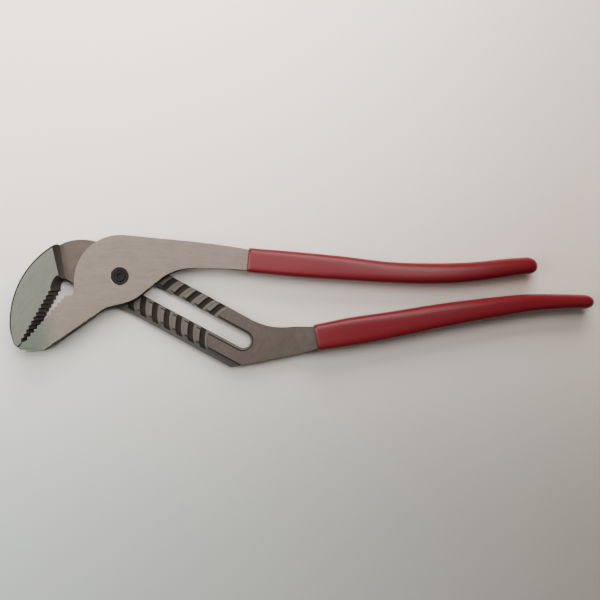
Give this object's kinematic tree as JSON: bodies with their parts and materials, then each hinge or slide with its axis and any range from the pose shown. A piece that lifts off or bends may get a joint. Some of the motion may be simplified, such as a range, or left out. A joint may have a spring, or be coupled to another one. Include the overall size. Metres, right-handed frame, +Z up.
{
  "type": "tongue and groove pliers",
  "caption": "Large tongue and groove pliers: two steel forgings with straight serrated jaws, a slotted grooved track, a pivot bolt with a round nut and red dipped grips.",
  "frame": {"origin": "on the pivot axis at the tightest groove setting, on the plane that the pliers lie on, which is the flat underside of the pivot bolt's head", "axes": "+X towards the handle ends, +Y from the lower handle towards the upper handle, +Z up out of the plane that the pliers lie on, along the pivot bolt"},
  "size_m": [0.4172, 0.0948, 0.0143],
  "materials": {
    "upper_steel": "ground flat faces with fine lengthwise lines, dark oxide on the edges",
    "lower_steel": "ground lands and jaw face, dark oxide in the grooves and on the edges",
    "bolt_steel": "oiled turned steel",
    "nut_steel": "black oxide",
    "upper_vinyl": "glossy dipped vinyl",
    "lower_vinyl": "glossy dipped vinyl"
  },
  "bodies": {
    "lower_half": {"lower_handle": "lower_steel", "lower_grip": "lower_vinyl"},
    "pivot_bolt": {"pivot_bolt": "bolt_steel"},
    "pivot_nut": {"pivot_nut": "nut_steel"},
    "upper_half": {"upper_handle": "upper_steel", "upper_grip": "upper_vinyl"}
  },
  "joints": [
    {"name": "groove_setting", "type": "slide", "parent": "pivot_bolt", "child": "lower_half", "axis": [-0.8813, 0.4726, 0], "range_m": [0, 0.0975]},
    {"name": "setting_turn", "type": "hinge", "parent": "pivot_nut", "child": "pivot_bolt", "pos_m": [0, 0, 0.007], "axis": [0, 0, -1], "range_deg": [0, 15]},
    {"name": "handle_opening", "type": "hinge", "parent": "pivot_nut", "child": "upper_half", "pos_m": [0, 0, 0.007], "axis": [0, 0, 1], "range_deg": [0, 50]}
  ],
  "couplings": [
    {"joint": "setting_turn", "follows": "groove_setting", "rad_per_m": 2.685}
  ]
}
